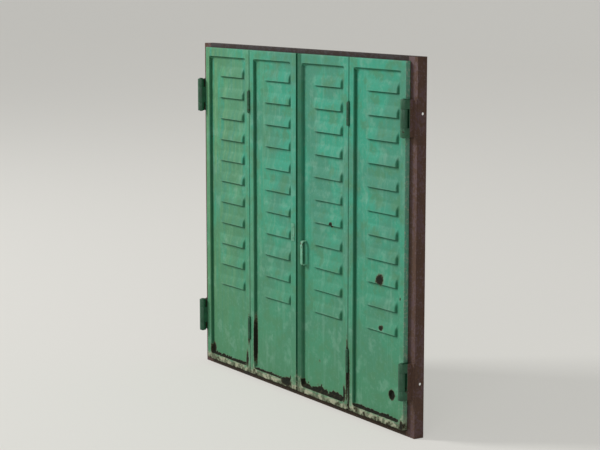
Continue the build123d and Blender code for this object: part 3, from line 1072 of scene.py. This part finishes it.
@dataclass
class SteelPiece:
    """A forged or bent steel piece with the form of its CAD node and its sharp edges broken."""

    node: str
    body: str
    bevel: float
    crease: float = 32.0
    flat_angle: float = 0.6
    smooth_angle: float = 40.0
    # An edge that turns by this many degrees starts to wear, and is bare that many further on.
    worn_from: float = 14.0
    worn_over: float = 12.0

    def build(
        self, finishes: Sequence[bpy.types.Material], slot: str, seam: float | None = None
    ) -> bpy.types.Object:
        """Build the piece and put it in place of its node.

        Args:
            finishes: Its finish, and a second one for what lies behind the seam.
            slot: The record's material slot. Not used.
            seam: Depth from which the second finish starts.

        Returns:
            The dressed piece.
        """
        piece = new_piece(self.node + "_steel", self.plain_form(seam), self.body, finishes[0])
        bevel = piece.modifiers.new("broken_edges", "BEVEL")
        bevel.width = self.bevel * MM
        bevel.segments = 2
        bevel.limit_method = "ANGLE"
        bevel.angle_limit = math.radians(self.crease)
        apply_modifiers(piece)
        self.mark_edges(piece.data)
        if seam is not None:
            piece.data.materials.append(finishes[1])
            for polygon in piece.data.polygons:
                polygon.material_index = int(polygon.center.y > seam * MM)
        piece.data.shade_smooth()
        piece.data.set_sharp_from_angle(angle=math.radians(self.smooth_angle))
        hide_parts(self.node)
        return piece

    def plain_form(self, seam: float | None) -> bpy.types.Mesh:
        """Copy the CAD node's form, with its flat faces whole.

        Args:
            seam: Depth at which the faces are cut, if they are.

        Returns:
            A mesh with points and faces alone.
        """
        form = bmesh.new()
        form.from_mesh(frame["nodes"][self.node].data)
        bmesh.ops.remove_doubles(form, verts=form.verts, dist=0.001 * MM)
        flat = math.radians(self.flat_angle)
        bmesh.ops.dissolve_limit(form, angle_limit=flat, verts=form.verts, edges=form.edges)
        if seam is not None:
            cut = form.verts[:] + form.edges[:] + form.faces[:]
            bmesh.ops.bisect_plane(form, geom=cut, plane_co=(0, seam * MM, 0), plane_no=(0, 1, 0))
        form.verts.index_update()
        places = [v.co[:] for v in form.verts]
        faces = [[v.index for v in face.verts] for face in form.faces]
        form.free()
        mesh = bpy.data.meshes.new(self.node + "_steel")
        mesh.from_pydata(places, [], faces)
        return mesh

    def mark_edges(self, mesh: bpy.types.Mesh) -> None:
        """Mark the points on broken edges as worn.

        Args:
            mesh: The bevelled piece, which gains the attribute.
        """
        form = bmesh.new()
        form.from_mesh(mesh)
        worn = [0.0] * len(form.verts)
        for edge in form.edges:
            if len(edge.link_faces) == 2:
                turn = math.degrees(edge.calc_face_angle(0.0))
                bare = min(1.0, max(0.0, (turn - self.worn_from) / self.worn_over))
                for vert in edge.verts:
                    worn[vert.index] = max(worn[vert.index], bare)
        form.free()
        mesh.attributes.new(WearAndShade.EDGE.value, "FLOAT", "POINT").data.foreach_set("value", worn)


@dataclass
class TurnedRow:
    """Rivets or a pin of one node, each turned about its own axis, with a domed head."""

    node: str
    body: str
    axis: Vector
    head_radius: float = 4.2
    head_height: float = 1.4
    shank_radius: float = 2.4
    segments: int = 28
    chamfer: float = 0.4
    rim_height: float = 0.25
    rim_round: float = 0.2
    dome_steps: int = 6
    smooth_angle: float = 50.0

    def spans(self) -> list[tuple[Vector, Vector]]:
        """Find each rivet or pin of the node.

        Returns:
            Its lowest and highest corner in metres, from the lowest rivet up.
        """
        points = sorted((v.co.copy() for v in frame["nodes"][self.node].data.vertices), key=lambda p: p.z)
        # Rivets stand in a column with gaps between them, and an upright pin is alone in its node.
        gap = math.inf if abs(self.axis.z) > 0.5 else 0.4 * self.head_radius * MM
        least = 1.5 * self.head_radius * MM
        groups = [[points[0]]]
        for point in points[1:]:
            if point.z - groups[-1][-1].z > gap and point.z - groups[-1][0].z > least:
                groups.append([])
            groups[-1].append(point)
        return [
            tuple(Vector([end(p[i] for p in group) for i in range(3)]) for end in (min, max))
            for group in groups
        ]

    def profile(self, length: float) -> list[tuple[float, float]]:
        """Draw the outline that is turned about the axis.

        Args:
            length: Whole length with the head.

        Returns:
            Radius and distance from the far end, up to the top of the head.
        """
        rim, shank = self.head_radius, self.shank_radius
        under = length - self.head_height
        dome = under + self.rim_height
        steps = [(0.0, 0.0), (shank - self.chamfer, 0.0), (shank, self.chamfer), (shank, under)]
        steps += [(rim - self.rim_round, under), (rim, dome)]
        for i in range(1, self.dome_steps):
            angle = math.pi / 2 * i / self.dome_steps
            steps.append((rim * math.cos(angle), dome + (length - dome) * math.sin(angle)))
        return steps + [(0.0, length)]

    def build(self, finish: bpy.types.Material, slot: str) -> bpy.types.Object:
        """Build the row and put it in place of its node.

        Args:
            finish: Its finish.
            slot: The record's material slot. Not used.

        Returns:
            The dressed row.
        """
        points, faces, worn = [], [], []
        side = self.axis.orthogonal().normalized()
        across = self.axis.cross(side)
        for low, high in self.spans():
            length = abs((high - low).dot(self.axis)) / MM
            foot = (low + high) / 2 - self.axis * length * MM / 2
            steps = self.profile(length)
            faces += tube_faces(len(points), len(steps), self.segments)
            for radius, along in steps:
                worn += [0.8 if radius >= self.head_radius - 0.3 else 0.2] * self.segments
                for k in range(self.segments):
                    turn = math.tau * k / self.segments
                    arm = (side * math.cos(turn) + across * math.sin(turn)) * max(radius, 0.02)
                    points.append((foot + (self.axis * along + arm) * MM)[:])
        mesh = bpy.data.meshes.new(self.node + "_turned")
        mesh.from_pydata(points, [], faces)
        mesh.attributes.new(WearAndShade.EDGE.value, "FLOAT", "POINT").data.foreach_set("value", worn)
        mesh.shade_smooth()
        mesh.set_sharp_from_angle(angle=math.radians(self.smooth_angle))
        row = new_piece(self.node + "_turned", mesh, self.body, finish)
        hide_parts(self.node)
        return row


@dataclass
class WeldBeads:
    """Short hand-laid beads above and below the wing of one jamb hinge."""

    hinge: str
    body: str = "frame"
    radius: float = 1.7
    ripple: float = 2.4
    ripple_share: float = 0.16
    wing: float = 13.0
    face: float = -15.0
    inset: float = 0.8
    sunk: float = 0.5
    lift: float = 0.3
    flatness: float = 0.8
    steps: int = 36
    sides: int = 10

    def build(self, finish: bpy.types.Material, slot: str) -> bpy.types.Object:
        """Build both beads.

        Args:
            finish: The frame's primer, which covers them.
            slot: The record's material slot. Not used.

        Returns:
            The beads as one piece.
        """
        low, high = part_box(self.hinge)
        side = 1 if low.x > 0 else -1
        outer = (high.x if side > 0 else low.x) / MM
        rng = random.Random(int(low.z / MM) + side)
        points, faces = [], []
        for level, up in ((high.z / MM, 1), (low.z / MM, -1)):
            faces += tube_faces(len(points), self.steps + 1, self.sides)
            for i in range(self.steps + 1):
                along = i / self.steps
                x = outer - side * (self.inset + (self.wing - 2 * self.inset) * along)
                swell = 1 + self.ripple_share * math.cos(math.tau * along * self.wing / self.ripple)
                swell += rng.uniform(-0.05, 0.05)
                taper = math.sin(math.pi / 2 * min(1, (min(i, self.steps - i) + 0.6) / 3))
                reach = self.radius * swell * taper
                for k in range(self.sides):
                    turn = math.tau * k / self.sides
                    y = self.face - self.sunk + self.flatness * reach * math.cos(turn)
                    z = level + up * self.lift + reach * math.sin(turn)
                    points.append((x * MM, y * MM, z * MM))
        mesh = bpy.data.meshes.new(self.hinge + "_welds")
        mesh.from_pydata(points, [], faces)
        form = bmesh.new()
        form.from_mesh(mesh)
        bmesh.ops.recalc_face_normals(form, faces=form.faces)
        form.to_mesh(mesh)
        form.free()
        mesh.shade_smooth()
        beads = new_piece(self.hinge + "_welds", mesh, self.body, finish)
        return beads


# Studio


@dataclass(frozen=True)
class SoftBox:
    """A square soft lamp that faces the middle of the window, in metres and watts."""

    name: str
    place: tuple[float, float, float]
    size: float
    power: float
    target: tuple[float, float, float] = (0.0, 0.0, 0.5)

    def build(self) -> None:
        """Hang the lamp."""
        lamp = bpy.data.lights.new(self.name, "AREA")
        lamp.shape = "SQUARE"
        lamp.size = self.size
        lamp.energy = self.power
        box = bpy.data.objects.new(self.name, lamp)
        box.location = self.place
        box.visible_camera = False
        aim = Vector(self.target) - Vector(self.place)
        box.rotation_euler = aim.to_track_quat("-Z", "Y").to_euler()
        bpy.context.scene.collection.objects.link(box)


@dataclass
class Studio:
    """Pale floor and backdrop, plain light and the camera at the photo's viewing place, in metres."""

    floor_colour: str = "#E4E2DC"
    floor_roughness: float = 0.9
    front_edge: float = -20.0
    bend_start: float = 13.0
    bend: float = 4.0
    bend_steps: int = 16
    top: float = 20.0
    half_width: float = 40.0
    backdrop_glow: float = 0.55
    air_colour: str = "#E9EDF0"
    air_strength: float = 0.32
    backdrop_strength: float = 0.68
    lamps: tuple[SoftBox, ...] = (
        SoftBox("key", (-5.4, -6.1, 6.0), 2.4, 715.0),
        SoftBox("fill", (4.5, -4.0, 2.4), 3.0, 95.0),
    )
    camera_place: tuple[float, float, float] = (4.186, -2.650, 1.233)
    sensor_width: float = 36.0
    focal_pixels: float = 1700.0

    def build(self) -> None:
        """Build the floor, the world, the lamps and the camera."""
        self.build_floor()
        self.build_world()
        for lamp in self.lamps:
            lamp.build()
        self.build_camera()

    def build_floor(self) -> None:
        """Build a floor that curves up into a backdrop."""
        profile = [(self.front_edge, 0.0)]
        for i in range(self.bend_steps + 1):
            angle = math.pi / 2 * i / self.bend_steps
            rise = self.bend * (1 - math.cos(angle))
            profile.append((self.bend_start + self.bend * math.sin(angle), rise))
        profile.append((self.bend_start + self.bend, self.top))
        count = len(profile)
        points = [(x, y, z) for x in (-self.half_width, self.half_width) for y, z in profile]
        faces = [(i, i + count, i + count + 1, i + 1) for i in range(count - 1)]
        mesh = bpy.data.meshes.new("studio_sweep")
        mesh.from_pydata(points, [], faces)
        mesh.shade_smooth()
        mesh.materials.append(self.paper())
        floor = bpy.data.objects.new("studio_sweep", mesh)
        bpy.context.scene.collection.objects.link(floor)

    def paper(self) -> bpy.types.Material:
        """Build the floor's material.

        Returns:
            Matt studio paper, which glows a little for the camera alone and keeps its shadows.
        """
        material, node = blank_material("pale_studio_paper")
        colour = linear(self.floor_colour)
        matt = {"Base Color": colour, "Roughness": self.floor_roughness}
        paper = node("ShaderNodeBsdfPrincipled", matt).outputs[0]
        glow = node("ShaderNodeEmission", {"Color": colour, "Strength": 1.0}).outputs[0]
        glowing = {0: self.seen_rays(node), 1: self.backdrop_glow}
        share = node("ShaderNodeMath", glowing, operation="MULTIPLY").outputs[0]
        surface = node("ShaderNodeMixShader", {0: share, 1: paper, 2: glow})
        node("ShaderNodeOutputMaterial", {"Surface": surface.outputs[0]})
        return material

    def seen_rays(self, node: AddNode) -> Socket:
        """Tell the rays that are seen from those that only carry light.

        Args:
            node: Adds a node to the paper or the world.

        Returns:
            One for rays from the camera and those that gloss and glass pass on, else zero.
        """
        rays = node("ShaderNodeLightPath").outputs
        seen = rays["Is Camera Ray"]
        for other in ("Is Glossy Ray", "Is Transmission Ray"):
            seen = node("ShaderNodeMath", {0: seen, 1: rays[other]}, operation="MAXIMUM").outputs[0]
        return seen

    def build_world(self) -> None:
        """Build a plain pale sky."""
        world = bpy.data.worlds.new("studio_air")
        world.use_nodes = True
        world.node_tree.nodes.clear()
        node = partial(add_node, world.node_tree)
        skies = ((self.air_colour, self.air_strength), (self.floor_colour, self.backdrop_strength))
        air, backdrop = (
            node("ShaderNodeBackground", {"Color": linear(colour), "Strength": strength}).outputs[0]
            for colour, strength in skies
        )
        surface = node("ShaderNodeMixShader", {0: self.seen_rays(node), 1: air, 2: backdrop})
        node("ShaderNodeOutputWorld", {"Surface": surface.outputs[0]})
        bpy.context.scene.world = world

    def build_camera(self) -> None:
        """Put the camera where the photo was taken from, aimed at the window's middle."""
        lens = bpy.data.cameras.new("camera")
        lens.sensor_width = self.sensor_width
        lens.lens = self.sensor_width * self.focal_pixels / PHOTO_WIDTH
        camera = bpy.data.objects.new("camera", lens)
        low, high = CAD_BOX
        camera.location = self.camera_place
        aim = (Vector(low) + Vector(high)) / 2 - Vector(self.camera_place)
        camera.rotation_euler = aim.to_track_quat("-Z", "Y").to_euler()
        bpy.context.scene.collection.objects.link(camera)
        bpy.context.scene.camera = camera


# The whole window


@dataclass
class Shutters:
    """The whole window: leaves, hinges, bolts, handle and frame."""

    heavy_bevel: float = 0.8
    light_bevel: float = 0.5
    pin_head: float = 3.0
    pin_collar: float = 2.0
    pin_segments: int = 40
    jamb_seam: float = -31.0

    def leaves(self) -> list[PressedLeaf]:
        """Plan the four leaves, each with its own wear.

        Returns:
            The leaves from left to right.
        """
        return [
            PressedLeaf(
                "outer_left_leaf",
                seed=11,
                ledge=6.0,
                blemishes=(
                    Blemish(-512, 52, 11, 20, 0.9),
                    Blemish(-300, 52, 12, 16, 0.9),
                    Blemish(-279, 150, 6, 52, 0.95),
                    Blemish(-288, 60, 7, 30, 0.8),
                ),
            ),
            PressedLeaf(
                "inner_left_leaf",
                seed=12,
                right_stile=30.0,
                ledge=4.0,
                # Painted shade on the right flange, which lies in the middle gap.
                painted_shade_flange=1.0,
                blemishes=(
                    Blemish(-246, 125, 6, 75, 1.0),
                    Blemish(-60, 32, 30, 13, 1.0),
                    Blemish(-45, 46, 9, 8, 0.9),
                ),
            ),
            PressedLeaf(
                "inner_right_leaf",
                seed=13,
                ledge=14.0,
                # Painted shade on the left stile beside the middle gap, and less on the recess's left
                # slope.
                painted_shade_stile=0.72,
                painted_shade_slope=0.7,
                blemishes=(
                    Blemish(267, 130, 4, 100, 0.95),
                    Blemish(252, 60, 9, 26, 0.9),
                    Blemish(175, 537, 9, 8, 0.95),
                    Blemish(110, 128, 9, 6, 0.35),
                ),
            ),
            PressedLeaf(
                "outer_right_leaf",
                seed=14,
                ledge=7.0,
                faded_flange=0.8,
                blemishes=(
                    Blemish(278, 90, 5, 90, 0.95),
                    Blemish(420, 415, 19, 16, 1.0),
                    Blemish(429, 282, 11, 8, 0.95),
                    Blemish(534, 30, 9, 16, 0.9),
                ),
                hole=Blemish(475, 103, 14, 14, 1.5),
            ),
        ]

    def build(self) -> Iterator[bpy.types.Object]:
        """Dress every node of the window.

        Yields:
            Each piece when it is done.
        """
        enamel = LeafEnamel().material()
        for leaf in self.leaves():
            yield leaf.build(enamel)
        materials = {coating: coating.value.material() for coating in Coating}
        for node in frame["nodes"]:
            if node.endswith("_leaf"):
                continue
            yield self.steel_piece(node, materials)
            if node.endswith("jamb_hinge"):
                yield WeldBeads(node).build(materials[Coating.PRIMER], "frame_primer")

    def steel_piece(self, node: str, materials: dict[Coating, bpy.types.Material]) -> bpy.types.Object:
        """Dress a piece of the frame, the hinges, the bolts, the handle or the plate.

        Args:
            node: Its CAD node.
            materials: The material of each coating.

        Returns:
            The dressed piece.
        """
        body, slot, finish = self.body_of(node), self.slot_of(node), materials[self.coating_of(node)]
        if node.endswith("rivets"):
            return TurnedRow(node, body, self.rivet_axis(node)).build(finish, slot)
        if node.endswith("pin"):
            low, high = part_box(node)
            rim = (high.x - low.x) / 2 / MM
            sizes = (rim, self.pin_head, rim - self.pin_collar, self.pin_segments)
            return TurnedRow(node, body, Vector((0, 0, 1)), *sizes).build(finish, slot)
        if node.endswith("jamb_hinge"):
            finishes = [finish, materials[Coating.PRIMER]]
            return SteelPiece(node, body, self.heavy_bevel).build(finishes, slot, self.jamb_seam)
        bevel = self.heavy_bevel if node.startswith("frame") else self.light_bevel
        return SteelPiece(node, body, bevel).build([finish], slot)

    def rivet_axis(self, node: str) -> Vector:
        """Point along a row's rivets, towards their heads.

        Args:
            node: The row's CAD node.

        Returns:
            The axis: sideways in the hinges, to the room in the bolts and outward in the plate.
        """
        if "hinge" in node:
            return Vector((-1 if "left" in node else 1, 0, 0))
        return Vector((0, 1 if "bolt" in node else -1, 0))

    def body_of(self, node: str) -> str:
        """The body that a CAD node rides on."""
        return next(body for body, nodes in frame["record"]["behaviour"]["bodies"].items() if node in nodes)

    def slot_of(self, node: str) -> str:
        """The record's material slot of a node."""
        return next(part["material_slot"] for part in frame["record"]["subparts"] if part["node"] == node)

    def coating_of(self, node: str) -> Coating:
        """Choose the coating of a steel piece by its node's name.

        Args:
            node: The CAD node.

        Returns:
            The coating that the real piece has.
        """
        beginnings = {
            "frame_sill": Coating.SILL,
            "frame_head": Coating.HEAD,
            "frame": Coating.PRIMER,
            "pull_handle": Coating.FITTING,
            "stile_plate": Coating.PLATE,
        }
        for start, coating in beginnings.items():
            if node.startswith(start):
                return coating
        return Coating.BARE if "bolt" in node else Coating.HINGE


def main() -> None:
    """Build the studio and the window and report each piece."""
    logging.basicConfig(level=logging.INFO, format="%(name)s: %(message)s")
    bpy.context.scene.view_settings.view_transform = "Standard"
    Studio().build()
    for piece in Shutters().build():
        log.info("%s: %d faces", piece.name, len(piece.data.polygons))


if __name__ == "__main__":
    main()
